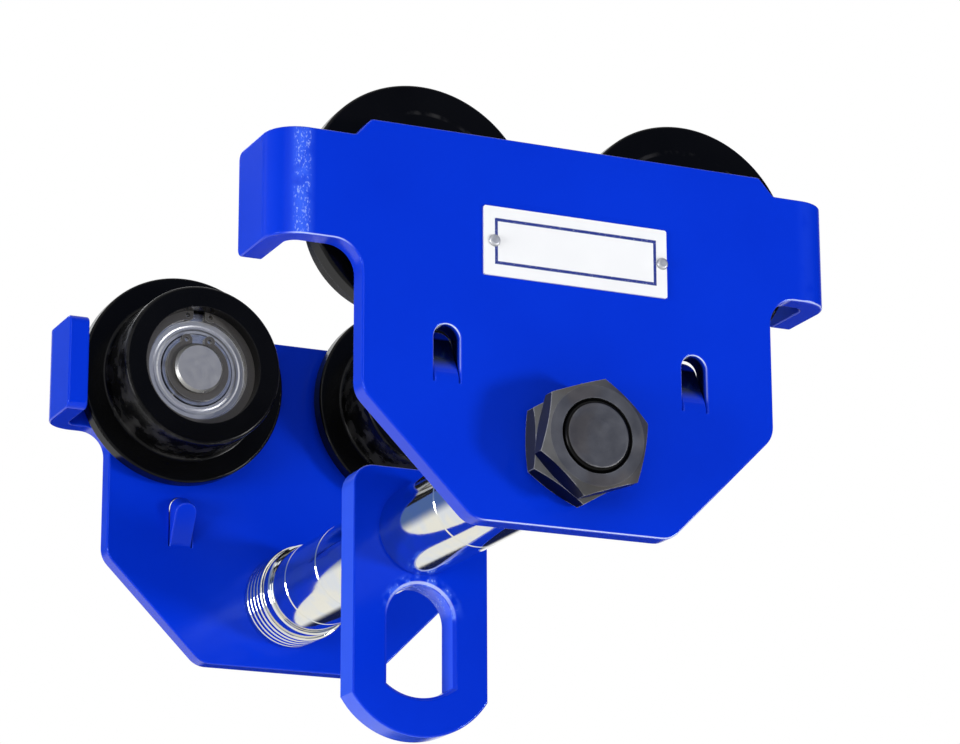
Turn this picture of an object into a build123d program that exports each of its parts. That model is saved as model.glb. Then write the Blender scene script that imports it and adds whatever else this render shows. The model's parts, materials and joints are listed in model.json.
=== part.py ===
"""Manual beam trolley: side plates on flanged wheels, a load bar with spacers and a suspension plate.

Frame: +X the way it rolls, +Y across from the front plate to the rear plate, +Z up. The origin is the
middle of the running plane, which the four wheel treads stand on. Millimetres.
"""
import os
from math import cos, radians, sin, tan

from build123d import *

os.makedirs("parts", exist_ok=True)

# Ball bearing in each wheel
bearing_bore = 20.0
ball_d = 7.9
ball_count = 8
ball_clear = 0.1
race_wall = 2.8
race_depth = 1.55
cage_t = 2.4
cage_rim = 1.2
pocket_clear = 0.15
cage_gap = 0.4
shield_t = 0.8
shield_inset = 0.5
shield_grip = 0.6
shield_clear = 0.5
ring_edge = 0.8

# Wheel: a tread that it rolls on and a flange that keeps it on its track
tread_d = 64.0
wheel_flange_depth = 9.75
wheel_flange_t = 7.3
wheel_flange_edge = 1.0
tread_edge = 1.5
tread_root_r = 1.5
wheel_gap = 3.5
wheel_apart = 16.0
bearing_shoulder = 8.0
shoulder_step = 4.5
wheel_lip = 6.2
seat_clear = 0.02

# Retaining rings, in the wheel's bore and on the axle
bore_ring_t = 1.75
bore_ring_b = 3.2
bore_groove = 1.2
axle_ring_t = 1.2
axle_ring_b = 2.8
axle_groove = 0.6
ring_play = 0.05
ring_gap = 5.0
ring_ear_r = 2.2
ring_eye_d = 1.9

# Stub axle, welded into the inside of a side plate
axle_skin = 2.0
axle_collar_step = 3.0
axle_weld = 2.8
axle_tip = 2.4
axle_tip_edge = 1.0

# Side plate
plates_apart = 249.6
plate_t = 8.0
foot_below_track = 78.7
cut_corner_w = 40.1
cut_corner_h = 39.9
plate_corner_r = 9.0
plate_edge_r = 0.7
crown_above_axle = 22.7
crown_inset = 3.1
crown_slope = 5.5
crown_corner_r = 2.0
wing_top_above_axle = 16.6
wing_h = 37.2
left_wing_clear = 8.0
right_wing_clear = 2.5
wing_bend_r = 4.0
wing_depth = 34.0
wing_corner_r = 3.0
left_notch_w = 19.2
notch_r = 10.0

# Lanced tongues that lean in from each side plate
tongue_from_axle = 3.75
tongue_w = 9.5
tongue_h = 20.0
tongue_below_flange = 3.5
tongue_lean = 28.0
tongue_bend_r = 3.0
tongue_shear = 0.3
tongue_tip_flat = 0.445
tongue_edge_r = 0.6

# Load bar, its nuts and the spacers on it
bar_d = 24.0
bar_above_foot = 27.8
bar_hole_clear = 0.5
bar_end_proud = 0.8
bar_end_r = 1.4
nut_af = 36.0
nut_h = 9.0
nut_face_inset = 0.9
nut_chamfer_angle = 30.0
nut_mouth = 0.9
thread_clear = 0.02
inner_nut_turn = 30.0
lock_nut_turn = 18.5
sleeve_clear = 0.35
sleeve_wall = 4.5
sleeve_edge = 0.6
middle_sleeve = 31.0
short_sleeve = 14.5
spacer_ring_t = 6.5
spacer_ring_rim = 1.2
shim_t = 3.5
shim_count = 5
shim_rim = 2.2
shim_edge = 0.9
shim_gap = 0.06

# Suspension plate
hanger_t = 12.0
hanger_play = 0.3
hanger_bore_clear = 0.08
hanger_eye_wall = 10.8
hanger_cheek = 13.6
hanger_floor = 14.5
hanger_sag = 14.5
hanger_top_r = 8.0
hanger_edge_r = 0.8
hanger_bore_edge = 0.6
slot_w = 26.0
slot_web = 8.0
slot_h = 41.5
slot_sag = 4.5
slot_edge = 1.2

# Nameplate and its rivets, on the front side plate
label_h = 24.3
label_t = 0.8
label_left_end = 3.85
label_right_end = 1.85
label_below_axle = 14.3
label_corner_r = 0.8
rivet_pitch = 63.0
rivet_middle_x = 2.45
rivet_head_d = 4.2
rivet_head_h = 1.1
rivet_dome_r = 0.9
rivet_shank_d = 2.4
rivet_depth = 4.0
rivet_clear = 0.05

# Radii and places that follow from the sizes above
ball_r = ball_d / 2
bearing_r = bearing_bore / 2
pitch_r = bearing_r + race_wall + ball_r
bearing_outer_r = pitch_r + ball_r + race_wall
inner_land_r = pitch_r - ball_r + race_depth
outer_land_r = pitch_r + ball_r - race_depth
race_r = ball_r + ball_clear
cage_half_w = ball_r + pocket_clear + cage_rim
bearing_w = 2 * (cage_half_w + cage_gap + shield_t + shield_inset)

tread_r = tread_d / 2
flange_r = tread_r + wheel_flange_depth
axle_z = tread_r
wheel_x = flange_r + wheel_apart / 2
wheel_bore_r = bearing_outer_r + seat_clear
bearing_from = wheel_gap + bearing_shoulder
bearing_to = bearing_from + bearing_w
bore_groove_to = bearing_to + bore_ring_t + ring_play
axle_groove_to = bearing_to + axle_ring_t + ring_play
wheel_to = bore_groove_to + wheel_lip
axle_to = axle_groove_to + axle_tip

bar_r = bar_d / 2
bar_z = bar_above_foot - foot_below_track
sleeve_inner_r = bar_r + sleeve_clear
sleeve_outer_r = sleeve_inner_r + sleeve_wall
inner_y = plates_apart / 2
outer_y = inner_y + plate_t
other_spacers = middle_sleeve + short_sleeve + spacer_ring_t + shim_count * shim_t
long_sleeve = inner_y - hanger_t / 2 - hanger_play - other_spacers
sleeve_lengths = {"long": long_sleeve, "middle": middle_sleeve, "short": short_sleeve}
bar_half_length = outer_y + 2 * nut_h + bar_end_proud

wing_outer_r = wing_bend_r + plate_t
left_wing_x = wheel_x + flange_r + left_wing_clear + plate_t
right_wing_x = wheel_x + flange_r + right_wing_clear + plate_t
wing_xs = {-1: left_wing_x, 1: right_wing_x}
wing_top_z = axle_z + wing_top_above_axle
wing_low_z = wing_top_z - wing_h
body_x = left_wing_x - wing_outer_r - left_notch_w
foot_z = -foot_below_track
foot_x = body_x - cut_corner_w
cut_z = foot_z + cut_corner_h
crown_x = body_x - crown_inset
shoulder_x = crown_x + crown_slope
crown_z = axle_z + crown_above_axle
tongue_x = wheel_x - tongue_from_axle
tongue_z = axle_z - flange_r - tongue_below_flange - tongue_h
tongue_half_w = tongue_w / 2 - tongue_shear
tongue_flat = tongue_h - radians(tongue_lean) * (tongue_bend_r + plate_t / 2)

hanger_bore_r = bar_r + hanger_bore_clear
hanger_x = slot_w / 2 + hanger_cheek
hanger_top_z = bar_z + hanger_bore_r + hanger_eye_wall
slot_top_z = bar_z - hanger_bore_r - slot_web
slot_low_z = slot_top_z - slot_h
hanger_low_z = slot_low_z - hanger_floor

label_z = axle_z - label_below_axle
rivet_xs = [rivet_middle_x - rivet_pitch / 2, rivet_middle_x + rivet_pitch / 2]
label_w = label_left_end + rivet_pitch + label_right_end
label_x = rivet_middle_x + (label_right_end - label_left_end) / 2

sides = {"front": -1, "rear": 1}
ends = {"left": -1, "right": 1}
close_by = 1e-4


def keep(piece, name):
    """Label a finished piece and write it to its own file."""
    piece.part.label = name
    export_step(piece.part, f"parts/{name}.step")


def near(a, b):
    """True where two lengths are the same."""
    return abs(a - b) < close_by


# Side plates, both alike and turned to face each other. Left and right are as seen from outside, and the
# left wing stands further out. Each wing is the plate's end bent inwards through a right angle and is drawn
# from above. Each tongue is sheared free on three sides and bent inwards, and is drawn from its edge.


def on_plate_rim(edge):
    """True for the edges round a plate's two broad faces, which the paint rounds over."""
    middle = edge.center()
    x, y = abs(middle.X), abs(middle.Y)
    upright = not near(edge.bounding_box().size.Z, 0)
    through_body = near(y, (inner_y + outer_y) / 2)
    through_wing = any(near(x, wing_x - plate_t / 2) for wing_x in wing_xs.values())
    bend_seam = upright and any(near(x, wing_x - wing_outer_r) for wing_x in wing_xs.values())
    wing_seam = upright and near(y, outer_y - wing_outer_r)
    return not (through_body or through_wing or bend_seam or wing_seam)


def on_slot_rim(edge):
    """True for the sheared edges round a tongue's slot, on the plate's two broad faces."""
    middle = edge.center()
    beside = abs(abs(middle.X) - tongue_x) < tongue_w / 2 + close_by
    above = tongue_z + close_by < middle.Z < tongue_z + tongue_h + close_by
    return beside and above and not near(abs(middle.Y), (inner_y + outer_y) / 2)


def half_outline(bend_x):
    """One half of a plate's outline, from its foot to its crown, out to where the wing's bend begins."""
    return [
        (foot_x, foot_z),
        (body_x, cut_z),
        (body_x, wing_low_z),
        (bend_x, wing_low_z),
        (bend_x, wing_top_z),
        (shoulder_x, wing_top_z),
        (crown_x, crown_z),
    ]


for side, s in sides.items():
    with BuildPart() as tongues:
        for e in ends.values():
            hinge = (e * tongue_x, s * outer_y, tongue_z)
            with BuildSketch(Plane(origin=hinge, x_dir=(0, -s, 0), z_dir=(-s, 0, 0))):
                with BuildLine():
                    centre = (tongue_bend_r + plate_t, 0)
                    outer_arc = CenterArc(centre, tongue_bend_r + plate_t, 180 - tongue_lean, tongue_lean)
                    inner_arc = CenterArc(centre, tongue_bend_r, 180 - tongue_lean, tongue_lean)
                    flat = Vector(sin(radians(tongue_lean)), cos(radians(tongue_lean))) * tongue_flat
                    Line(outer_arc @ 1, inner_arc @ 1)
                    Polyline(outer_arc @ 0, outer_arc @ 0 + flat, inner_arc @ 0 + flat, inner_arc @ 0)
                make_face()
            extrude(amount=tongue_half_w, both=True)
        corners = tongues.edges().filter_by(lambda c: near(c.length, plate_t))
        corners = corners.filter_by(lambda c: near(c.tangent_at(0).X, 0))
        corners = corners.filter_by(lambda c: c.center().Z > tongue_z + close_by)
        fillet(corners, tongue_half_w - tongue_tip_flat)
        tips = tongues.edges().filter_by(Axis.X)
        fillet(tips.filter_by(lambda t: t.length < tongue_half_w), tongue_edge_r)

    outward = Plane(origin=(0, s * outer_y, 0), x_dir=(-s, 0, 0), z_dir=(0, s, 0))
    with BuildPart() as side_plate:
        with BuildSketch(outward) as outline:
            with BuildLine():
                left_half = [(-x, z) for x, z in half_outline(left_wing_x - wing_outer_r)]
                Polyline(*half_outline(right_wing_x - wing_outer_r), *reversed(left_half), close=True)
            make_face()
            corners = outline.vertices()
            fillet(corners.filter_by(lambda v: near(v.Y, foot_z) or near(v.Y, cut_z)), plate_corner_r)
            corners = outline.vertices()
            fillet(corners.filter_by(lambda v: near(abs(v.X), body_x) and near(v.Y, wing_low_z)), notch_r)
            corners = outline.vertices()
            corners = corners.filter_by(lambda v: near(v.Y, crown_z) or near(abs(v.X), shoulder_x))
            fillet(corners, crown_corner_r)
        extrude(amount=-plate_t)

        bend_y = s * (outer_y - wing_outer_r)
        tip_y = s * (outer_y - wing_depth)
        for hand, wing_x in wing_xs.items():
            e = -s * hand
            bend_x = e * (wing_x - wing_outer_r)
            bend_centre = Vector(bend_x, bend_y)
            halfway = Vector(e * cos(radians(45)), s * sin(radians(45)))
            with BuildSketch(Plane.XY.offset(wing_low_z)):
                with BuildLine():
                    Line((bend_x, s * inner_y), (bend_x, s * outer_y))
                    ThreePointArc(
                        (bend_x, s * outer_y),
                        bend_centre + halfway * wing_outer_r,
                        (e * wing_x, bend_y),
                    )
                    Polyline(
                        (e * wing_x, bend_y),
                        (e * wing_x, tip_y),
                        (e * (wing_x - plate_t), tip_y),
                        (e * (wing_x - plate_t), bend_y),
                    )
                    ThreePointArc(
                        (e * (wing_x - plate_t), bend_y),
                        bend_centre + halfway * wing_bend_r,
                        (bend_x, s * inner_y),
                    )
                make_face()
            extrude(amount=wing_h)
        tip_corners = side_plate.edges().filter_by(Axis.X)
        fillet(tip_corners.filter_by(lambda t: near(t.center().Y, tip_y)), wing_corner_r)
        fillet(side_plate.edges().filter_by(on_plate_rim), plate_edge_r)

        half_w = tongue_w / 2
        spring = tongue_h - half_w
        for e in ends.values():
            hinge = (e * tongue_x, s * outer_y, tongue_z)
            with BuildSketch(Plane(origin=hinge, x_dir=(-s, 0, 0), z_dir=(0, s, 0))):
                with BuildLine():
                    Polyline((-half_w, spring), (-half_w, 0), (half_w, 0), (half_w, spring))
                    ThreePointArc((half_w, spring), (0, tongue_h), (-half_w, spring))
                make_face()
            extrude(amount=-plate_t, mode=Mode.SUBTRACT)
        fillet(side_plate.edges().filter_by(on_slot_rim), plate_edge_r)
        add(tongues.part)

        for e in ends.values():
            with BuildSketch(Plane(origin=(e * wheel_x, s * inner_y, axle_z), z_dir=(0, s, 0))):
                Circle(bearing_r + seat_clear)
            extrude(amount=plate_t - axle_skin, mode=Mode.SUBTRACT)
        with BuildSketch(Plane(origin=(0, s * inner_y, bar_z), z_dir=(0, s, 0))):
            Circle(bar_r + bar_hole_clear)
        extrude(amount=plate_t, mode=Mode.SUBTRACT)
        if side == "front":
            for x in rivet_xs:
                with BuildSketch(Plane(origin=(x, s * outer_y, label_z), z_dir=(0, s, 0))):
                    Circle(rivet_shank_d / 2 + rivet_clear)
                extrude(amount=-rivet_depth, mode=Mode.SUBTRACT)
    keep(side_plate, f"side_plate_{side}")

# Nameplate and rivets

label_face = Plane(origin=(0, -outer_y, label_z), x_dir=(1, 0, 0), z_dir=(0, -1, 0))

with BuildPart() as nameplate:
    with BuildSketch(label_face):
        with Locations((label_x, 0)):
            RectangleRounded(label_w, label_h, label_corner_r)
        with Locations(*[(x, 0) for x in rivet_xs]):
            Circle(rivet_shank_d / 2 + rivet_clear, mode=Mode.SUBTRACT)
    extrude(amount=label_t)
keep(nameplate, "nameplate")

with BuildPart() as rivets:
    with BuildSketch(label_face.offset(-rivet_depth)):
        with Locations(*[(x, 0) for x in rivet_xs]):
            Circle(rivet_shank_d / 2)
    extrude(amount=rivet_depth + label_t)
    with BuildSketch(label_face.offset(label_t)):
        with Locations(*[(x, 0) for x in rivet_xs]):
            Circle(rivet_head_d / 2)
    extrude(amount=rivet_head_h)
    fillet(rivets.edges().filter_by(GeomType.CIRCLE).group_by(Axis.Y)[0], rivet_dome_r)
keep(rivets, "nameplate_rivets")

# Load bar, nuts, sleeves and shims

bar_middle = Plane(origin=(0, 0, bar_z), x_dir=(1, 0, 0), z_dir=(0, -1, 0))

with BuildPart() as load_bar:
    with BuildSketch(bar_middle):
        Circle(bar_r)
    extrude(amount=bar_half_length, both=True)
    fillet(load_bar.edges().filter_by(GeomType.CIRCLE), bar_end_r)
keep(load_bar, "load_bar")


def section_through(plane):
    """The plane that holds another's axis: its x is the radius and its y runs along that axis."""
    return Plane(origin=plane.origin, x_dir=plane.x_dir, z_dir=plane.x_dir.cross(plane.z_dir))


def hexagon_nut(name, seat, turn):
    """A nut with both its ends and both mouths of its bore chamfered, standing on the seat plane."""
    corner_r = nut_af / 2 / cos(radians(30))
    face_r = nut_af / 2 - nut_face_inset
    drop = (corner_r - face_r) * tan(radians(nut_chamfer_angle))
    bore_r = bar_r + thread_clear
    with BuildPart() as nut:
        with BuildSketch(seat):
            RegularPolygon(corner_r, 6, rotation=turn)
        extrude(amount=nut_h)
        with BuildSketch(section_through(seat)):
            with BuildLine():
                Polyline(
                    (bore_r + nut_mouth, 0),
                    (face_r, 0),
                    (corner_r, drop),
                    (corner_r, nut_h - drop),
                    (face_r, nut_h),
                    (bore_r + nut_mouth, nut_h),
                    (bore_r, nut_h - nut_mouth),
                    (bore_r, nut_mouth),
                    close=True,
                )
            make_face()
        revolve(axis=Axis(seat.origin, seat.z_dir), mode=Mode.INTERSECT)
    keep(nut, name)


def tube(name, start, length, outer_r, edge):
    """A sleeve or ring that slides on the bar, its outer ends eased."""
    with BuildPart() as sleeve:
        with BuildSketch(start):
            Circle(outer_r)
            Circle(sleeve_inner_r, mode=Mode.SUBTRACT)
        extrude(amount=length)
        rims = sleeve.edges().filter_by(GeomType.CIRCLE)
        chamfer(rims.filter_by(lambda c: near(c.radius, outer_r)), edge)
    keep(sleeve, name)


for side, s in sides.items():
    nut_seat = Plane(origin=(0, s * outer_y, bar_z), x_dir=(-s, 0, 0), z_dir=(0, s, 0))
    hexagon_nut(f"inner_nut_{side}", nut_seat, inner_nut_turn)
    hexagon_nut(f"lock_nut_{side}", nut_seat.offset(nut_h), lock_nut_turn)

    stack = Plane(origin=(0, s * (hanger_t / 2 + hanger_play), bar_z), x_dir=(1, 0, 0), z_dir=(0, s, 0))
    for size, length in sleeve_lengths.items():
        tube(f"sleeve_{size}_{side}", stack, length, sleeve_outer_r, sleeve_edge)
        stack = stack.offset(length)
    tube(f"spacer_ring_{side}", stack, spacer_ring_t, sleeve_outer_r + spacer_ring_rim, sleeve_edge)
    stack = stack.offset(spacer_ring_t)

    shim_outer_r = sleeve_outer_r + shim_rim
    with BuildPart() as shims:
        for i in range(shim_count):
            with BuildSketch(stack.offset(i * shim_t)):
                Circle(shim_outer_r)
                Circle(sleeve_inner_r, mode=Mode.SUBTRACT)
            extrude(amount=shim_t - shim_gap)
        rims = shims.edges().filter_by(GeomType.CIRCLE)
        fillet(rims.filter_by(lambda c: near(c.radius, shim_outer_r)), shim_edge)
    keep(shims, f"shim_washers_{side}")

# Suspension plate, drawn on its front face

hanger_side_z = hanger_low_z + hanger_sag
slot_side_z = slot_low_z + slot_sag
slot_x = slot_w / 2
slot_spring_z = slot_top_z - slot_x


def round_the_slot(edge):
    """True for the edges of the slot on the plate's two faces."""
    middle = edge.center()
    return near(abs(middle.Y), hanger_t / 2) and abs(middle.X) < slot_x + close_by and in_slot(middle.Z)


def in_slot(z):
    """True for heights within the slot."""
    return slot_low_z - close_by < z < slot_top_z + close_by


def round_the_eye(edge):
    """True for the edges of the bore on the plate's two faces."""
    return edge.geom_type == GeomType.CIRCLE and near(edge.radius, hanger_bore_r)


def round_the_hanger(edge):
    """True for the edges of the plate's outline on its two faces."""
    on_face = near(abs(edge.center().Y), hanger_t / 2)
    return on_face and not round_the_slot(edge) and not round_the_eye(edge)


with BuildPart() as hanger:
    with BuildSketch(Plane(origin=(0, -hanger_t / 2, 0), x_dir=(1, 0, 0), z_dir=(0, -1, 0))) as shape:
        with BuildLine():
            Polyline(
                (-hanger_x, hanger_side_z),
                (-hanger_x, hanger_top_z),
                (hanger_x, hanger_top_z),
                (hanger_x, hanger_side_z),
            )
            ThreePointArc((hanger_x, hanger_side_z), (0, hanger_low_z), (-hanger_x, hanger_side_z))
        make_face()
        fillet(shape.vertices().filter_by(lambda v: near(v.Y, hanger_top_z)), hanger_top_r)
        with BuildLine():
            Line((-slot_x, slot_side_z), (-slot_x, slot_spring_z))
            ThreePointArc((-slot_x, slot_spring_z), (0, slot_top_z), (slot_x, slot_spring_z))
            Line((slot_x, slot_spring_z), (slot_x, slot_side_z))
            ThreePointArc((slot_x, slot_side_z), (0, slot_low_z), (-slot_x, slot_side_z))
        make_face(mode=Mode.SUBTRACT)
        with Locations((0, bar_z)):
            Circle(hanger_bore_r, mode=Mode.SUBTRACT)
    extrude(amount=-hanger_t)
    chamfer(hanger.edges().filter_by(round_the_slot), slot_edge)
    chamfer(hanger.edges().filter_by(round_the_eye), hanger_bore_edge)
    fillet(hanger.edges().filter_by(round_the_hanger), hanger_edge_r)
keep(hanger, "suspension_plate")

# Wheels, axles and bearings. Each section has the radius across and the distance in from the plate up.


def turned(name, hub, points):
    """A turned piece from its half section."""
    with BuildPart() as piece:
        with BuildSketch(section_through(hub)):
            with BuildLine():
                Polyline(*points, close=True)
            make_face()
        revolve(axis=Axis(hub.origin, hub.z_dir))
    keep(piece, name)


def retaining_ring(name, face, thickness, inner_r, outer_r, ear_r):
    """A spring ring with a gap and an eye in each ear for the pliers."""
    with BuildPart() as clip:
        with BuildSketch(face):
            Circle(outer_r)
            Circle(inner_r, mode=Mode.SUBTRACT)
            with Locations((-ring_gap / 2 - ring_ear_r, ear_r), (ring_gap / 2 + ring_ear_r, ear_r)):
                Circle(ring_ear_r)
            with Locations((0, ear_r)):
                Rectangle(ring_gap, 4 * ring_ear_r, mode=Mode.SUBTRACT)
            with Locations((-ring_gap / 2 - ring_ear_r, ear_r), (ring_gap / 2 + ring_ear_r, ear_r)):
                Circle(ring_eye_d / 2, mode=Mode.SUBTRACT)
        extrude(amount=thickness)
    keep(clip, name)


for side, s in sides.items():
    for end, e in ends.items():
        corner = f"{side}_{end}"
        hub = Plane(origin=(e * wheel_x, s * inner_y, axle_z), x_dir=(1, 0, 0), z_dir=(0, -s, 0))
        spin = Axis(hub.origin, hub.z_dir)

        with BuildPart() as wheel:
            with BuildSketch(section_through(hub)) as profile:
                flange_to = wheel_gap + wheel_flange_t
                hole_r = wheel_bore_r - shoulder_step
                with BuildLine():
                    Polyline(
                        (hole_r, wheel_gap),
                        (flange_r, wheel_gap),
                        (flange_r, flange_to),
                        (tread_r, flange_to),
                        (tread_r, wheel_to),
                        (wheel_bore_r, wheel_to),
                        (wheel_bore_r, bore_groove_to),
                        (wheel_bore_r + bore_groove, bore_groove_to),
                        (wheel_bore_r + bore_groove, bearing_to),
                        (wheel_bore_r, bearing_to),
                        (wheel_bore_r, bearing_from),
                        (hole_r, bearing_from),
                        close=True,
                    )
                make_face()
                fillet(profile.vertices().filter_by(lambda v: near(v.X, flange_r)), wheel_flange_edge)
                treads = profile.vertices().filter_by(lambda v: near(v.X, tread_r))
                fillet(treads.filter_by(lambda v: near(v.Y, flange_to)), tread_root_r)
                treads = profile.vertices().filter_by(lambda v: near(v.X, tread_r))
                fillet(treads.filter_by(lambda v: near(v.Y, wheel_to)), tread_edge)
            revolve(axis=spin)
        keep(wheel, f"wheel_{corner}")

        journal_r = bearing_r - seat_clear
        collar_r = bearing_r + axle_collar_step
        axle_points = [
            (0, axle_skin - plate_t),
            (bearing_r, axle_skin - plate_t),
            (bearing_r, 0),
            (collar_r + axle_weld, 0),
            (collar_r, axle_weld),
            (collar_r, bearing_from),
            (journal_r, bearing_from),
            (journal_r, bearing_to),
            (bearing_r - axle_groove, bearing_to),
            (bearing_r - axle_groove, axle_groove_to),
            (journal_r, axle_groove_to),
            (journal_r, axle_to - axle_tip_edge),
            (journal_r - axle_tip_edge, axle_to),
            (0, axle_to),
        ]
        turned(f"axle_{corner}", hub, axle_points)

        shield_seat_r = outer_land_r + shield_grip
        shield_room = shield_inset + shield_t
        race_at = (pitch_r, bearing_from + bearing_w / 2)
        with BuildPart() as outer_ring:
            with BuildSketch(section_through(hub)) as profile:
                with BuildLine():
                    Polyline(
                        (shield_seat_r, bearing_from),
                        (bearing_outer_r, bearing_from),
                        (bearing_outer_r, bearing_to),
                        (shield_seat_r, bearing_to),
                        (shield_seat_r, bearing_to - shield_room),
                        (outer_land_r, bearing_to - shield_room),
                        (outer_land_r, bearing_from + shield_room),
                        (shield_seat_r, bearing_from + shield_room),
                        close=True,
                    )
                make_face()
                chamfer(profile.vertices().filter_by(lambda v: near(v.X, bearing_outer_r)), ring_edge)
                with Locations(race_at):
                    Circle(race_r, mode=Mode.SUBTRACT)
            revolve(axis=spin)
        keep(outer_ring, f"bearing_outer_{corner}")

        with BuildPart() as inner_ring:
            with BuildSketch(section_through(hub)) as profile:
                with Locations(((bearing_r + inner_land_r) / 2, bearing_from + bearing_w / 2)):
                    Rectangle(inner_land_r - bearing_r, bearing_w)
                chamfer(profile.vertices().filter_by(lambda v: near(v.X, bearing_r)), ring_edge)
                with Locations(race_at):
                    Circle(race_r, mode=Mode.SUBTRACT)
            revolve(axis=spin)
        keep(inner_ring, f"bearing_inner_{corner}")

        with BuildPart() as shields:
            for start in (bearing_from + shield_inset, bearing_to - shield_inset - shield_t):
                with BuildSketch(hub.offset(start)):
                    Circle(shield_seat_r - seat_clear)
                    Circle(inner_land_r + shield_clear, mode=Mode.SUBTRACT)
                extrude(amount=shield_t)
        keep(shields, f"bearing_shields_{corner}")

        race_middle = hub.offset(bearing_from + bearing_w / 2)
        with BuildPart(race_middle) as balls:
            with PolarLocations(pitch_r, ball_count):
                Sphere(ball_r)
        keep(balls, f"bearing_balls_{corner}")

        with BuildPart(race_middle) as cage:
            with BuildSketch(race_middle):
                Circle(pitch_r + cage_t / 2)
                Circle(pitch_r - cage_t / 2, mode=Mode.SUBTRACT)
            extrude(amount=cage_half_w, both=True)
            with PolarLocations(pitch_r, ball_count):
                Cylinder(ball_r + pocket_clear, 2 * cage_t, rotation=(0, 90, 0), mode=Mode.SUBTRACT)
        keep(cage, f"bearing_cage_{corner}")

        behind_bearing = hub.offset(bearing_to)
        bore_ring_r = wheel_bore_r - bore_ring_b
        retaining_ring(
            f"bore_circlip_{corner}",
            behind_bearing,
            bore_ring_t,
            bore_ring_r,
            wheel_bore_r + bore_groove - seat_clear,
            bore_ring_r + ring_ear_r / 2,
        )
        axle_ring_r = bearing_r + axle_ring_b
        retaining_ring(
            f"axle_circlip_{corner}",
            behind_bearing,
            axle_ring_t,
            bearing_r - axle_groove + seat_clear,
            axle_ring_r,
            axle_ring_r - ring_ear_r / 2,
        )
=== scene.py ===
# %% [markdown]
# # A manual beam trolley
# The trolley rolls on four flanged wheels, and its slotted plate carries a hoist. What is left for Blender
# is how it looks, so this lesson is about a camera, light, and finishes that are drawn with shader nodes.

# %% Bring in the frame
import json
import math

import bpy
from mathutils import Matrix, Vector

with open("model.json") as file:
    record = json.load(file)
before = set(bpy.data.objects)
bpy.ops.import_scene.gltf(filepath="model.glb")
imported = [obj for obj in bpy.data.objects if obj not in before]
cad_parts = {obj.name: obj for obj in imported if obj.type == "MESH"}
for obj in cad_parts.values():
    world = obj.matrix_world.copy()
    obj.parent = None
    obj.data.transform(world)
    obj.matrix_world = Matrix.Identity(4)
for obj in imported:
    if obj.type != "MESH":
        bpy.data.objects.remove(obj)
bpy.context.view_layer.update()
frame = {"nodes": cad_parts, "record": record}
nodes = frame["nodes"]
scene = bpy.context.scene
scene.view_settings.view_transform = "Standard"

# %% [markdown]
# ## The camera
# The view is from the left of the trolley and well below it, through a long lens. A camera can be placed by
# hand and turned until the picture looks alike, or its place can be solved from the outlines of flat plates
# of known shape. The second way was used here, so the numbers below aren't round ones. Yaw turns the camera
# from the +Y direction, and pitch tips it up.

# %% Make the camera
PICTURE_W = 960
CAMERA_AT = Vector((-0.4985, -1.1489, -0.3513))
CAMERA_YAW = math.radians(24.56)
CAMERA_PITCH = math.radians(16.12)
CAMERA_ROLL = math.radians(0.21)
FOCAL_PIXELS = 3521.2
SENSOR_MM = 36.0

ahead = Vector((
    math.sin(CAMERA_YAW) * math.cos(CAMERA_PITCH),
    math.cos(CAMERA_YAW) * math.cos(CAMERA_PITCH),
    math.sin(CAMERA_PITCH),
))
right = ahead.cross(Vector((0, 0, 1))).normalized()
right = Matrix.Rotation(CAMERA_ROLL, 3, ahead) @ right
up = right.cross(ahead)

camera = bpy.data.objects.new("camera", bpy.data.cameras.new("camera"))
scene.collection.objects.link(camera)
camera.matrix_world = Matrix.Translation(CAMERA_AT) @ Matrix((right, up, -ahead)).transposed().to_4x4()
camera.data.sensor_fit = "HORIZONTAL"
camera.data.sensor_width = SENSOR_MM
camera.data.lens = FOCAL_PIXELS * SENSOR_MM / PICTURE_W
scene.camera = camera
print("lens", round(camera.data.lens, 1), "mm")

# %% [markdown]
# ## A tap on a socket
# Shader nodes can be wired by hand in the editor, and each one can be made in Python with a line of its own,
# but sums soon become hard to read that way. The class below wraps an output socket, so that `1 - mask` or
# `rings * 0.2 + 0.3` is written as a plain sum and the Math nodes appear by themselves. Every other node
# comes from its one method, `node`, which sets the node up first and then fills its sockets.

# %% Write the tap
class Tap:
    """An output socket of a node. Sums on it add Math nodes."""

    def __init__(self, socket):
        self.socket = socket

    def node(self, kind, settings=None, values=None, out=None):
        """Add a node beside this one: its settings first, then its sockets by name or in order."""
        tree = self.socket.id_data
        made = tree.nodes.new("ShaderNode" + kind)
        for setting, value in (settings or {}).items():
            setattr(made, setting, value)
        named = values.items() if isinstance(values, dict) else enumerate(values or [])
        for name, value in named:
            if isinstance(name, str):
                socket = next(s for s in made.inputs if s.name == name and s.enabled)
            else:
                socket = made.inputs[name]
            if isinstance(value, Tap):
                tree.links.new(value.socket, socket)
            else:
                socket.default_value = value
        outlets = [s for s in made.outputs if s.enabled and out in (None, s.name)]
        return Tap(outlets[0])

    def maths(self, operation, *values):
        """Add a Math node."""
        return self.node("Math", {"operation": operation}, values)

    def __add__(self, other):
        return self.maths("ADD", self, other)

    def __sub__(self, other):
        return self.maths("SUBTRACT", self, other)

    def __rsub__(self, other):
        return self.maths("SUBTRACT", other, self)

    def __mul__(self, other):
        return self.maths("MULTIPLY", self, other)

    def __pow__(self, other):
        return self.maths("POWER", self, other)

    def __abs__(self):
        return self.maths("ABSOLUTE", self)

    __radd__ = __add__
    __rmul__ = __mul__


# %% Small helpers for finishes
def swatch(red, green, blue):
    """A colour as it looks on screen, from 0 to 255, turned into the linear light that Blender works in."""
    levels = [value / 255 for value in (red, green, blue)]
    linear = [c / 12.92 if c < 0.04045 else ((c + 0.055) / 1.055) ** 2.4 for c in levels]
    return (*linear, 1.0)


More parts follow.
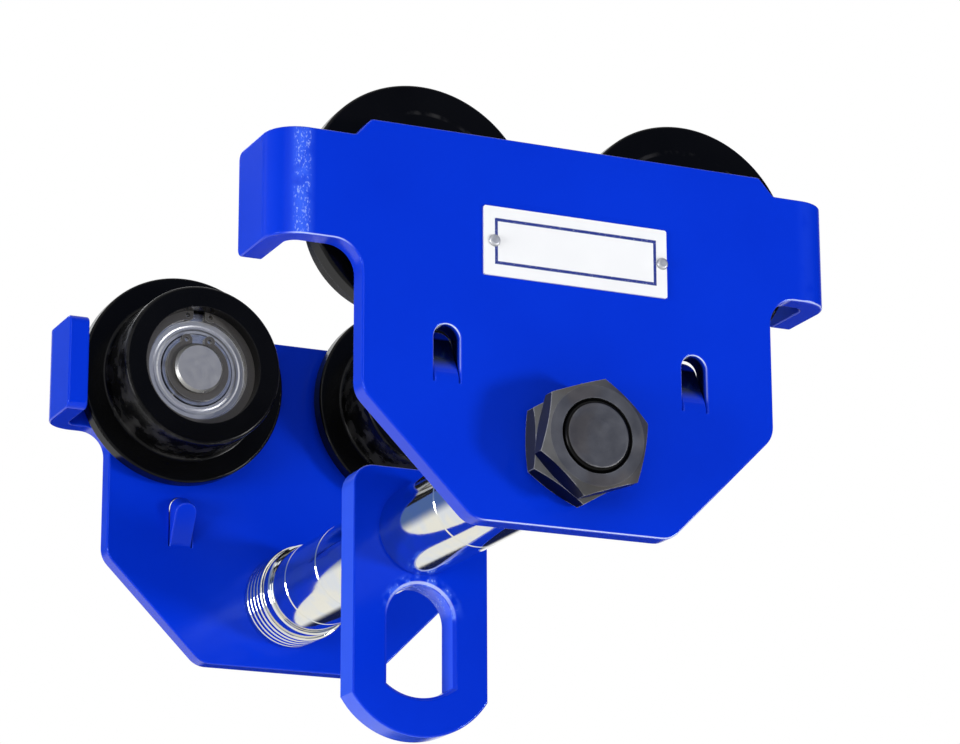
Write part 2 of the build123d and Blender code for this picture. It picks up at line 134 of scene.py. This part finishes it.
def rise(value, low, high):
    """0 below low, 1 above high, and a smooth rise between them."""
    levels = {"Value": value, "From Min": low, "From Max": high}
    return value.node("MapRange", {"interpolation_type": "SMOOTHSTEP"}, levels)


def band(value, low, full, fade, high):
    """A rise from 0 to 1 between low and full, and a fall back to 0 between fade and high."""
    return rise(value, low, full) * (1 - rise(value, fade, high))


def blend(factor, first, second):
    """The first colour where the factor is 0 and the second where it is 1."""
    return factor.node("Mix", {"data_type": "RGBA"}, {"Factor": factor, "A": first, "B": second})


def along(vector, axis):
    """One axis of a vector."""
    return vector.node("SeparateXYZ", None, [vector], out=axis)


def grain(place, size, detail=2.0):
    """Noise from 0 to 1 whose lumps are about as many millimetres wide as the size."""
    return place.node("TexNoise", None, {"Vector": place, "Scale": 1 / size, "Detail": detail})


# %% [markdown]
# ## The studio
# A product like this is photographed against white, with soft light from all round. Gloss paint mirrors its
# surroundings, so a studio also holds cards just out of the picture where a broad face would mirror a white
# wall and look milky. The world does both jobs here: it is white, with a card in each direction that the
# front faces, the left ends, the bends and the undersides mirror. Each card has the angles, in degrees, where
# it starts and where it is full. The camera sees plain white, and `WALL_LIGHT` is how much of that white
# lights the trolley.

# %% Light the world
CARDS = {
    "front": {"at": (0.40, -0.874, 0.278), "colour": swatch(104, 116, 152), "edge": (52, 20)},
    "left end": {"at": (-0.40, 0.874, 0.278), "colour": swatch(84, 112, 176), "edge": (25, 11)},
    "left bend": {"at": (-0.96, 0.1, 0.278), "colour": swatch(110, 135, 190), "edge": (48, 24)},
    "right bend": {"at": (0.96, 0.0, 0.278), "colour": swatch(30, 46, 116), "edge": (58, 20)},
    "underside": {"at": (0.40, 0.874, -0.278), "colour": swatch(24, 32, 72), "edge": (18, 9)},
}
WALL_WHITE = (1.0, 1.0, 1.0, 1.0)
WALL_LIGHT = 0.6

studio = bpy.data.worlds.new("studio")
scene.world = studio
studio.use_nodes = True
background = studio.node_tree.nodes["Background"]
wall = Tap(background.outputs[0])
direction = wall.node("TexCoord", out="Generated")
seen = wall.node("LightPath", out="Is Camera Ray")
mirrored = wall.node("LightPath", out="Is Glossy Ray") + wall.node("LightPath", out="Is Transmission Ray")
wall_colour = WALL_WHITE
for card in CARDS.values():
    lined_up = direction.node("VectorMath", {"operation": "DOT_PRODUCT"}, [direction, card["at"]])
    outer, inner = (math.cos(math.radians(angle)) for angle in card["edge"])
    wall_colour = blend(rise(lined_up, outer, inner) * (1 - seen), wall_colour, card["colour"])
wall_strength = (seen + mirrored) * (1 - WALL_LIGHT) + WALL_LIGHT
studio.node_tree.links.new(wall_colour.socket, background.inputs["Color"])
studio.node_tree.links.new(wall_strength.socket, background.inputs["Strength"])
print("world nodes:", len(studio.node_tree.nodes))

# %% Hang the lamps
LAMPS = {
    "key_lamp": {"at": (1.6, -1.7, -0.42), "size": 0.4, "watts": 26.5},
    "left_lamp": {"at": (-2.0, -0.6, -0.3), "size": 0.8, "watts": 26.5},
    "front_lamp": {"at": (-0.55, -2.3, 0.75), "size": 1.5, "watts": 10.3},
    "back_lamp": {"at": (-0.6, 1.9, 1.4), "size": 1.0, "watts": 9.5},
}
LAMPS_AIM = Vector((0.0, 0.0, -0.02))

for name, lamp in LAMPS.items():
    light = bpy.data.lights.new(name, "AREA")
    light.size = lamp["size"]
    light.energy = lamp["watts"]
    stand = bpy.data.objects.new(name, light)
    scene.collection.objects.link(stand)
    stand.location = lamp["at"]
    towards = LAMPS_AIM - stand.location
    stand.rotation_euler = towards.to_track_quat("-Z", "Y").to_euler()
    print(name, round(towards.length, 2), "m away")

# %% [markdown]
# The floor is a pale sheet well below the trolley, which hangs overhead in use. The camera looks up and never
# sees it, but the underside of the trolley does, and bright metal mirrors it. The floor keeps its shading and
# the trolley's shadow, and fades into the white wall further out. Its mirror image is plain white.

# %% Lay the floor
FLOOR_Z = -1.1
FLOOR_HALF = 2.3
FLOOR_FADE = (1.2, 2.3)
FLOOR_SHADE = swatch(226, 227, 229)
FLOOR_PALE = swatch(238, 238, 240)
FLOOR_CLOUDS = 3.0
FLOOR_ROUGHNESS = 0.7

floor_mesh = bpy.data.meshes.new("floor")
corners = [(-1, -1), (1, -1), (1, 1), (-1, 1)]
floor_mesh.from_pydata([(x * FLOOR_HALF, y * FLOOR_HALF, FLOOR_Z) for x, y in corners], [], [(0, 1, 2, 3)])
floor = bpy.data.objects.new("floor", floor_mesh)
scene.collection.objects.link(floor)

floor_paint = bpy.data.materials.new("floor_paint")
floor_paint.use_nodes = True
floor_shader = floor_paint.node_tree.nodes["Principled BSDF"]
floor_place = Tap(floor_shader.outputs[0]).node("TexCoord", out="Object")
floor_cloud = floor_place.node("TexNoise", None, {"Vector": floor_place, "Scale": FLOOR_CLOUDS})
floor_colour = blend(floor_cloud, FLOOR_SHADE, FLOOR_PALE)
floor_paint.node_tree.links.new(floor_colour.socket, floor_shader.inputs["Base Color"])
floor_shader.inputs["Roughness"].default_value = FLOOR_ROUGHNESS
floor_away = floor_place.node("VectorMath", {"operation": "LENGTH"}, [floor_place], out="Value")
floor_faded = floor_place.node("LightPath", out="Is Camera Ray") * rise(floor_away, *FLOOR_FADE)
floor_white = floor_place.node("LightPath", out="Is Glossy Ray") + floor_faded
floor_glow = floor_place.node("Emission", None, {"Color": WALL_WHITE, "Strength": 1.0})
floor_look = floor_place.node("MixShader", None, [floor_white, Tap(floor_shader.outputs[0]), floor_glow])
floor_output = floor_paint.node_tree.nodes["Material Output"]
floor_paint.node_tree.links.new(floor_look.socket, floor_output.inputs["Surface"])
floor.data.materials.append(floor_paint)
print("floor", 2 * FLOOR_HALF, "m square at", FLOOR_Z)

# %% [markdown]
# ## Starting a finish
# Every finish below starts alike: a Principled shader, and the place of each point in millimetres. A CAD
# piece sits at the origin with its place in its mesh, so object coordinates are real places on the trolley.
# That is what lets a pattern be put exactly on a bend, or wound round the axis of a wheel, with no UV map.

# %% Start and wire a finish
MM_PER_M = 1000.0
EDGE_SAMPLES = 6
EDGE_TURN = (0.02, 0.25)


class Finish:
    """A material, the place of its points in millimetres, and the way they face."""

    def __init__(self, name, **fixed):
        self.material = bpy.data.materials.new(name)
        self.material.use_nodes = True
        self.shader = self.material.node_tree.nodes["Principled BSDF"]
        for socket, value in fixed.items():
            self.shader.inputs[socket.replace("_", " ")].default_value = value
        start = Tap(self.shader.outputs[0])
        metres = start.node("TexCoord", out="Object")
        self.place = metres.node("VectorMath", {"operation": "SCALE"}, {"Vector": metres, "Scale": MM_PER_M})
        self.facing = start.node("NewGeometry", out="Normal")

    def edge(self, width):
        """1 on sharp edges and 0 on flats, from how far a rounded edge would turn the surface."""
        rounded = self.place.node("Bevel", {"samples": EDGE_SAMPLES}, {"Radius": width / MM_PER_M})
        alike = rounded.node("VectorMath", {"operation": "DOT_PRODUCT"}, [rounded, self.facing])
        return rise(1 - alike, *EDGE_TURN)

    def wire(self, colour, roughness, height=None, metallic=None):
        """Join the shader up. The height is in millimetres."""
        links = self.material.node_tree.links
        links.new(colour.socket, self.shader.inputs["Base Color"])
        links.new(roughness.socket, self.shader.inputs["Roughness"])
        if metallic:
            links.new(metallic.socket, self.shader.inputs["Metallic"])
        if height:
            bump = height.node("Bump", None, {"Distance": 1 / MM_PER_M, "Height": height})
            links.new(bump.socket, self.shader.inputs["Normal"])
        print(self.material.name, "has", len(self.material.node_tree.nodes), "nodes")
        return self.material


finishes = {}

# %% [markdown]
# ## Blue gloss paint
# The plates are sheet steel, pressed to shape and then painted a strong blue that flows into a gloss. Up
# close the gloss is not a mirror: it has the slight ripple that painters call orange peel, and where the
# sheet was bent its skin is drawn and pressed, which shows through the paint as a rough band. A single
# glossy blue would miss both. Here the colour drifts a little over the plate, and sideways faces and edges
# are lighter, partly thin paint and partly painted highlight. The drawn bands get painted sheen and glints,
# rims get painted highlights, including the arch of the suspension plate's slot, and holes painted shade.

# %% Mix the paint
BLUE_DEEP = swatch(2, 45, 199)
BLUE_FULL = swatch(4, 53, 212)
# Painted light below: lighter blues are sheen and highlight, navy is shade, near-whites are glints.
BLUE_THIN_SHEEN = swatch(34, 84, 240)
BLUE_DRAWN_SHEEN = swatch(64, 110, 246)
BLUE_SHEARED_SHEEN = swatch(58, 98, 244)
BLUE_SHADE = swatch(2, 8, 44)
SPARKLE_GLINT = swatch(168, 192, 255)
RIM_HIGHLIGHT = swatch(222, 232, 255)
PAINT_GLOSS = 0.3
PAINT_GLINT = swatch(170, 214, 255)
PAINT_DRIFT = 45.0
PAINT_PEEL = 2.2
PAINT_FLECK = 0.6
FLECK_STRETCH = (1.0, 1.0, 0.55)
PEEL_HEIGHT = 0.010
FLECK_HEIGHT = 0.2
THIN_SHEEN_EDGE = 1.4


def gloss_blue(name, sheared_sheen, marks_and_sheen_mask, highlight_mask, shade_mask):
    """Blue paint: rough on drawn or ground steel, and painted sheen, glints, highlights and shade."""
    paint = Finish(name, Specular_IOR_Level=PAINT_GLOSS, Specular_Tint=PAINT_GLINT)
    drift = grain(paint.place, PAINT_DRIFT)
    peel = grain(paint.place, PAINT_PEEL, 1.0)
    marks_and_sheen = marks_and_sheen_mask(paint)
    upright = paint.place.node("VectorMath", {"operation": "MULTIPLY"}, [paint.place, FLECK_STRETCH])
    flecks_and_glints = grain(upright, PAINT_FLECK)
    side_on = 1 - rise(abs(along(paint.facing, "Y")), 0.3, 0.8)
    colour = blend(drift, BLUE_DEEP, BLUE_FULL)
    # Painted sheen: sideways faces are lighter, partly thin paint on sheared sides, partly painted highlight.
    colour = blend(side_on * sheared_sheen, colour, BLUE_SHEARED_SHEEN)
    # Edges are lighter, partly thin paint and partly painted highlight.
    colour = blend(paint.edge(THIN_SHEEN_EDGE) * 0.55, colour, BLUE_THIN_SHEEN)
    # Painted sheen: the drawn and ground bands are lighter blue.
    colour = blend(marks_and_sheen * 0.6, colour, BLUE_DRAWN_SHEEN)
    # Painted glints: near-white flecks in the drawn and ground bands.
    colour = blend(rise(flecks_and_glints, 0.54, 0.68) * rise(marks_and_sheen, 0.35, 0.8) * 0.6, colour, SPARKLE_GLINT)
    # Painted shade: dark navy deep in the slots and in the bore.
    colour = blend(shade_mask(paint), colour, BLUE_SHADE)
    # Painted highlights: near-white rims.
    colour = blend(highlight_mask(paint), colour, RIM_HIGHLIGHT)
    roughness = drift * 0.06 + 0.12 + marks_and_sheen * 0.12
    height = peel * PEEL_HEIGHT + flecks_and_glints * marks_and_sheen * FLECK_HEIGHT
    return paint.wire(colour, roughness, height)


# %% Mark the bends and the lower edges of the side plates
LEFT_BEND_X = -97.6
RIGHT_BEND_X = 91.8
RIGHT_BEND_SHARE = 0.12
BEND_BAND = 5.0
BEND_STREAK = 6.0
WING_LIP_X = (78.0, 86.0, 98.0, 104.0)
LOW_EDGE_X = (-36.5, -30.5)
LOW_EDGE_Z = (-72.7, -54.7)
LIP_DOWN = (0.2, 0.4, 0.75, 0.92)
LIP_OUTWARD = (0.2, 0.4)


def plate_side(paint):
    """-1 on the front side plate and 1 on the rear one."""
    y = along(paint.place, "Y")
    return y.maths("SIGN", y)


def plate_x(paint):
    """X as it runs on the front plate. The rear plate is the same one turned round, so its x is turned."""
    return along(paint.place, "X") * plate_side(paint) * -1


def outward(paint, low, high):
    """A rise from 0 to 1 as the surface turns to face out of its plate."""
    return rise(along(paint.facing, "Y") * plate_side(paint), low, high)


def bend_marks_and_sheen(paint):
    """A band of drawn steel along each wing's bend, rough and with painted sheen. More on the left."""
    x = plate_x(paint)
    left = 1 - rise(abs(x - LEFT_BEND_X), BEND_BAND * 0.1, BEND_BAND)
    right = 1 - rise(abs(x - RIGHT_BEND_X), BEND_BAND * 0.1, BEND_BAND)
    streaks = rise(grain(paint.place, BEND_STREAK, 1.0), 0.2, 0.5)
    return (left + right * RIGHT_BEND_SHARE) * streaks * outward(paint, 0.25, 0.5)


def lower_lip(paint):
    """1 on the rounded edge between a plate's outer face and its underside."""
    return band(along(paint.facing, "Z") * -1, *LIP_DOWN) * outward(paint, *LIP_OUTWARD)


def wing_lip_highlight(paint):
    """A painted highlight on the lower edge of each wing by its bend."""
    return band(abs(along(paint.place, "X")), *WING_LIP_X) * lower_lip(paint)


def low_lip_highlight(paint):
    """A painted highlight on the lower edge of each plate and the start of the slope on its right."""
    low = 1 - rise(along(paint.place, "Z"), *LOW_EDGE_Z)
    return low * rise(plate_x(paint), *LOW_EDGE_X) * lower_lip(paint)


# %% Mark the slots of the side plates
SLOT_X = 46.0
SLOT_HALF_W = 5.8
SLOT_LOW_Z = -34.0
SLOT_TOP_Z = -12.5
SLOT_SOFT = 0.1
PLATE_Y = 132.8
RIM_DEPTH = (0.05, 0.25, 0.45, 0.8)
BARE_DEPTH = (0.8, 3.2, 7.2, 7.8)
TONGUE_DEPTH = (8.4, 9.2)
TONGUE_EDGE = 1.0


def near_slot(paint):
    """1 in the narrow upright boxes that hold the lanced slots and their tongues."""
    from_middle = abs(abs(along(paint.place, "X")) - SLOT_X)
    beside = 1 - rise(from_middle, SLOT_HALF_W - SLOT_SOFT, SLOT_HALF_W)
    heights = (SLOT_LOW_Z, SLOT_LOW_Z + SLOT_SOFT, SLOT_TOP_Z - SLOT_SOFT, SLOT_TOP_Z)
    return beside * band(along(paint.place, "Z"), *heights)


def plate_depth(paint):
    """How deep each point lies below the plate's outer face."""
    return PLATE_Y - abs(along(paint.place, "Y"))


def slot_rim_highlight(paint):
    """Painted highlights on each slot's rim, most at its top, and on the edges of its tongue."""
    depth = plate_depth(paint)
    z = along(paint.place, "Z")
    on_rim = band(depth, *RIM_DEPTH) * rise(z, SLOT_LOW_Z + 4, SLOT_LOW_Z + 7)
    topmost = rise(z, SLOT_TOP_Z - 5.5, SLOT_TOP_Z - 1.5)
    on_tongue = rise(depth, *TONGUE_DEPTH) * paint.edge(TONGUE_EDGE)
    return near_slot(paint) * (on_rim * (topmost * 0.65 + 0.3) + on_tongue * 0.6)


def rim_highlights(paint):
    """All the painted highlights of a side plate: on its slots, its wings and its lower edge."""
    return slot_rim_highlight(paint) + wing_lip_highlight(paint) * 0.6 + low_lip_highlight(paint) * 0.7


def deep_in_slot(paint):
    """Painted shade on the walls and tongues of the slots, from a little below the outer face."""
    return near_slot(paint) * band(plate_depth(paint), *BARE_DEPTH)


# Side plates: faint sideways sheen, painted sheen and glints on bends, rim highlights, shade in slots.
finishes["blue_paint"] = gloss_blue("blue_paint", 0.1, bend_marks_and_sheen, rim_highlights, deep_in_slot)

# %% Mark the slot of the suspension plate
BAR_Z = -50.9
BORE_SHADE_R = (12.28, 12.88)
ARCH_Z = -83.98
ARCH_R = 13.0
ARCH_BAND = 5.0
ARCH_SPECKLE = 4.0
ARCH_HIGHLIGHT = (0.1, 0.4, 0.9, 1.4)


def radius_from(place, x, z):
    """How far each point is from a line that runs across the trolley, along Y."""
    across = abs(along(place, "X")) - x
    upward = along(place, "Z") - z
    return (across * across + upward * upward) ** 0.5


def from_arch(paint):
    """How far each point is outside the round top of the hook's slot."""
    return radius_from(paint.place, 0.0, ARCH_Z) - ARCH_R


def slot_marks_and_sheen(paint):
    """A ground band round the hook's slot top, rubbed by shackles: rough, with painted sheen and glints."""
    close_by = 1 - rise(from_arch(paint), ARCH_BAND * 0.4, ARCH_BAND)
    upper = rise(along(paint.place, "Z"), ARCH_Z, ARCH_Z + ARCH_R * 0.7)
    return close_by * upper * rise(grain(paint.place, ARCH_SPECKLE, 1.0), 0.35, 0.6)


def arch_rim_highlight(paint):
    """A painted highlight on the top of the slot's chamfer."""
    upper = rise(along(paint.place, "Z"), ARCH_Z, ARCH_Z + ARCH_R)
    return band(from_arch(paint), *ARCH_HIGHLIGHT) * upper * 0.6


def bore_shade(paint):
    """Painted shade in the bore for the bar."""
    return 1 - rise(radius_from(paint.place, 0.0, BAR_Z), *BORE_SHADE_R)


# Suspension plate: strong sideways sheen, painted sheen on its slot band, arch highlight, bore shade.
finishes["blue_paint_worn"] = gloss_blue("blue_paint_worn", 0.8, slot_marks_and_sheen, arch_rim_highlight, bore_shade)

# %% [markdown]
# ## Black oxide
# The nuts and the load bar are dipped steel: a soft dark grey, a little brown in patches, with rings from the
# lathe on their ends. The nuts' flats are forged and never turned, so less metallic, and they are painted
# darker as shade, nearly black where they face down. A ring of painted shade lies in the gap round the
# bar's end. The film wears off along sharp edges first, and there the steel shines.
# Rings can be drawn by sampling noise with only the radius from the bar's axis, so the noise has no other way
# to change.

# %% Blacken the nuts and the bar
# Radii of a ring of painted shade in the gap round the bar's end.
GAP_SHADE_R = (10.7, 11.1, 12.6, 12.9)
OXIDE_DARK = swatch(86, 86, 87)
OXIDE_PALE = swatch(118, 118, 119)
OXIDE_BROWN = swatch(100, 93, 86)
# Painted shade: the colour of the flats.
OXIDE_FLAT_SHADE = swatch(42, 43, 46)
OXIDE_SHADE_BELOW = swatch(6, 6, 8)
OXIDE_GAP_SHADE = swatch(8, 8, 8)
STEEL_BARE = swatch(196, 198, 200)


def lathe_rings(radius, pitch):
    """Fine rings, from noise that is sampled by the radius alone."""
    line = radius.node("CombineXYZ", None, [radius, 0.0, 0.0])
    return grain(line, pitch, 3.0)


oxide = Finish("black_oxide", Specular_IOR_Level=0.1)
from_bar = radius_from(oxide.place, 0.0, BAR_Z)
ring_marks = lathe_rings(from_bar, 0.9)
gap_shade = band(from_bar, *GAP_SHADE_R)
end_on = abs(along(oxide.facing, "Y"))
end_face = rise(end_on, 0.85, 0.97)
forged_and_shade = 1 - rise(end_on, 0.7, 0.98)
shade_below = forged_and_shade * rise(along(oxide.facing, "Z") * -1, 0.2, 0.6)
mottle = grain(oxide.place, 6.0, 4.0)
oxide_colour = blend(mottle, OXIDE_DARK, OXIDE_PALE)
oxide_colour = blend(rise(grain(oxide.place, 14.0), 0.52, 0.7) * 0.5, oxide_colour, OXIDE_BROWN)
# Painted shade: the flats are darker than the ends.
oxide_colour = blend(forged_and_shade, oxide_colour, OXIDE_FLAT_SHADE)
# Painted shade: flats that face down are nearly black.
oxide_colour = blend(shade_below, oxide_colour, OXIDE_SHADE_BELOW)
oxide_colour = blend(oxide.edge(0.8) * rise(mottle, 0.3, 0.55) * 0.75, oxide_colour, STEEL_BARE)
# Painted shade: a dark ring in the gap round the bar's end.
oxide_colour = blend(gap_shade, oxide_colour, OXIDE_GAP_SHADE)
oxide_roughness = mottle * 0.16 + 0.24 + ring_marks * end_face * 0.08
oxide_height = ring_marks * end_face * 0.02 + grain(oxide.place, 0.8, 3.0) * 0.02
oxide_metallic = 0.85 - forged_and_shade * 0.8
finishes["black_oxide"] = oxide.wire(oxide_colour, oxide_roughness, oxide_height, oxide_metallic)

# %% [markdown]
# ## Black enamel
# The wheels are cast and turned, then sprayed black. Their flanges are glossy, and their treads keep the fine
# turning of the lathe under the paint, and are rubbed a little dull where they roll.

# %% Spray the wheels
WHEEL_X = 49.75
WHEEL_Z = 32.0
TREAD_R = 32.0
ENAMEL_BLACK = swatch(2, 2, 2)
ENAMEL_GREY = swatch(9, 9, 10)
ENAMEL_RUBBED = swatch(58, 57, 56)

enamel = Finish("black_enamel", Specular_IOR_Level=0.12)
from_hub = radius_from(enamel.place, WHEEL_X, WHEEL_Z)
turning = lathe_rings(from_hub + along(enamel.place, "Y"), 0.8)
on_tread = 1 - rise(abs(from_hub - TREAD_R), 0.3, 1.0)
rubbed = on_tread * rise(grain(enamel.place, 7.0, 3.0), 0.45, 0.7)
enamel_colour = blend(grain(enamel.place, 25.0), ENAMEL_BLACK, ENAMEL_GREY)
enamel_colour = blend(rubbed * 0.5 + enamel.edge(0.8) * 0.25, enamel_colour, ENAMEL_RUBBED)
enamel_roughness = grain(enamel.place, 12.0) * 0.1 + 0.16 + rubbed * 0.22
enamel_height = grain(enamel.place, 1.8, 1.0) * 0.012 + turning * on_tread * 0.03
finishes["black_enamel"] = enamel.wire(enamel_colour, enamel_roughness, enamel_height)

# %% [markdown]
# ## Bright zinc plate
# The spacer sleeves, rings and shims are turned steel tube with a bright plated skin, close to a mirror. A
# mirror shows its surroundings, so most of their look comes from the blue plates and the white studio. What
# is the plating's own is a faint drift between a warm and a cold tint, and hair-fine lines round the tube.

# %% Plate the sleeves
ZINC_WARM = swatch(226, 224, 212)
ZINC_COLD = swatch(214, 218, 222)

zinc = Finish("zinc_plate", Metallic=1.0)
run = along(zinc.place, "Y")
hairlines = grain(run.node("CombineXYZ", None, [0.0, run, 0.0]), 0.5, 4.0)
zinc_colour = blend(rise(grain(zinc.place, 10.0), 0.35, 0.65), ZINC_WARM, ZINC_COLD)
zinc_roughness = grain(zinc.place, 4.0, 3.0) * 0.04 + 0.03 + hairlines * 0.04
zinc_height = hairlines * 0.004 + grain(zinc.place, 3.0) * 0.006
finishes["zinc_plate"] = zinc.wire(zinc_colour, zinc_roughness, zinc_height)

# %% [markdown]
# ## Steel round the wheels
# Behind each wheel are a stub axle with its weld, a ball bearing and two retaining rings. They are small and
# seen only from inside, but each is a different steel: turned on the axle, with straw and blue heat colours
# by the weld, ground on the bearing's rings and balls, pressed and bright on its shields, and dark grey and
# phosphated on the retaining rings.

# %% Turn the axles
AXLE_ROOT_Y = 124.8
AXLE_STEEL = swatch(178, 177, 174)
AXLE_STRAW = swatch(150, 116, 70)
AXLE_BLUED = swatch(74, 82, 112)

axle = Finish("axle_steel", Metallic=1.0)
from_plate = AXLE_ROOT_Y - abs(along(axle.place, "Y"))
cuts = lathe_rings(radius_from(axle.place, WHEEL_X, WHEEL_Z) + from_plate, 0.7)
heat = from_plate + grain(axle.place, 6.0) * 3.0
axle_colour = blend(1 - rise(heat, 3.0, 8.0), AXLE_STEEL, AXLE_STRAW)
axle_colour = blend(1 - rise(heat, 1.5, 4.5), axle_colour, AXLE_BLUED)
axle_roughness = grain(axle.place, 3.0) * 0.15 + 0.34
axle_height = cuts * 0.03 + grain(axle.place, 1.6, 3.0) * (1 - rise(from_plate, 2.4, 3.2)) * 0.3
finishes["axle_steel"] = axle.wire(axle_colour, axle_roughness, axle_height)

# %% Grind the bearings and press their shields
BEARING_BRIGHT = swatch(206, 207, 208)
BEARING_OILED = swatch(176, 172, 164)
SHIELD_GROOVE_R = 17.0
SHIELD_BRIGHT = swatch(192, 193, 194)
SHIELD_DULL = swatch(164, 165, 168)

bearing = Finish("bearing_steel", Metallic=1.0)
ground = lathe_rings(radius_from(bearing.place, WHEEL_X, WHEEL_Z), 0.4)
bearing_colour = blend(rise(grain(bearing.place, 5.0), 0.45, 0.7), BEARING_BRIGHT, BEARING_OILED)
bearing_roughness = ground * 0.1 + 0.22
finishes["bearing_steel"] = bearing.wire(bearing_colour, bearing_roughness, ground * 0.006)

shield = Finish("shield_steel", Metallic=1.0)
shield_r = radius_from(shield.place, WHEEL_X, WHEEL_Z)
pressed = 1 - rise(abs(shield_r - SHIELD_GROOVE_R), 0.3, 1.2)
shield_colour = blend(grain(shield.place, 8.0, 3.0), SHIELD_BRIGHT, SHIELD_DULL)
shield_roughness = grain(shield.place, 2.0, 3.0) * 0.16 + 0.34
shield_height = pressed * -0.25 + lathe_rings(shield_r, 0.6) * 0.01
finishes["shield_steel"] = shield.wire(shield_colour, shield_roughness, shield_height)

# %% Phosphate the retaining rings
SPRING_DARK = swatch(70, 68, 66)
SPRING_PALE = swatch(98, 95, 91)

spring = Finish("spring_steel", Metallic=0.6)
crystals = grain(spring.place, 0.5, 3.0)
spring_colour = blend(crystals, SPRING_DARK, SPRING_PALE)
spring_colour = blend(spring.edge(0.3) * 0.5, spring_colour, STEEL_BARE)
spring_roughness = crystals * 0.2 + 0.4
finishes["spring_steel"] = spring.wire(spring_colour, spring_roughness, crystals * 0.02)

# %% [markdown]
# ## The nameplate
# The nameplate is thin aluminium, printed white with a plain ruled border and held by two rivets. The border
# could be an image, but it would need a UV map and would blur up close. Here it is drawn with a distance to a
# rectangle, which is the usual way to draw lines in a shader: how far a point is outside the rectangle, or
# inside it, and a thin band round zero.

# %% Print the nameplate
LABEL_X, LABEL_Z = 1.45, 17.7
LABEL_HALF_W, LABEL_HALF_H = 34.35, 12.15
RULE_INSET, RULE_HALF, RULE_SOFT = 4.6, 0.55, 0.12
LABEL_RIM_Y = (133.3, 133.4)
LABEL_WHITE = swatch(250, 250, 247)
LABEL_SHADE = swatch(242, 242, 240)
LABEL_NAVY = swatch(26, 48, 132)
LABEL_METAL = swatch(190, 192, 194)

label = Finish("label_plate")
from_side = abs(along(label.place, "X") - LABEL_X) - (LABEL_HALF_W - RULE_INSET)
from_top = abs(along(label.place, "Z") - LABEL_Z) - (LABEL_HALF_H - RULE_INSET)
outside = from_side.maths("MAXIMUM", from_side, from_top)
rule = 1 - rise(abs(outside), RULE_HALF - RULE_SOFT, RULE_HALF + RULE_SOFT)
rim = 1 - rise(abs(along(label.place, "Y")), *LABEL_RIM_Y)
label_colour = blend(grain(label.place, 18.0), LABEL_WHITE, LABEL_SHADE)
label_colour = blend(rule * rise(grain(label.place, 0.35), 0.2, 0.4), label_colour, LABEL_NAVY)
label_colour = blend(rim, label_colour, LABEL_METAL)
label_roughness = grain(label.place, 3.0) * 0.12 + 0.26
label_height = rule * 0.02 + grain(label.place, 1.5, 1.0) * 0.006
finishes["label_plate"] = label.wire(label_colour, label_roughness, label_height)

# %% Set the rivets
RIVET_PALE = swatch(206, 207, 208)
RIVET_GREY = swatch(160, 161, 163)

rivet = Finish("rivet_aluminium", Metallic=1.0)
rivet_colour = blend(grain(rivet.place, 1.5, 3.0), RIVET_GREY, RIVET_PALE)
rivet_roughness = grain(rivet.place, 0.8, 3.0) * 0.2 + 0.42
finishes["rivet_aluminium"] = rivet.wire(rivet_colour, rivet_roughness, grain(rivet.place, 0.6) * 0.03)

# %% [markdown]
# ## Putting the finishes on
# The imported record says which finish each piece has, so nothing has to be listed twice. Only the suspension
# plate differs: it has the same paint as the side plates, but its own marks.

# %% Dress every piece
for piece in frame["record"]["subparts"]:
    slot = piece["material_slot"]
    if piece["node"] == "suspension_plate":
        slot = "blue_paint_worn"
    nodes[piece["node"]].material_slots[0].material = finishes[slot]
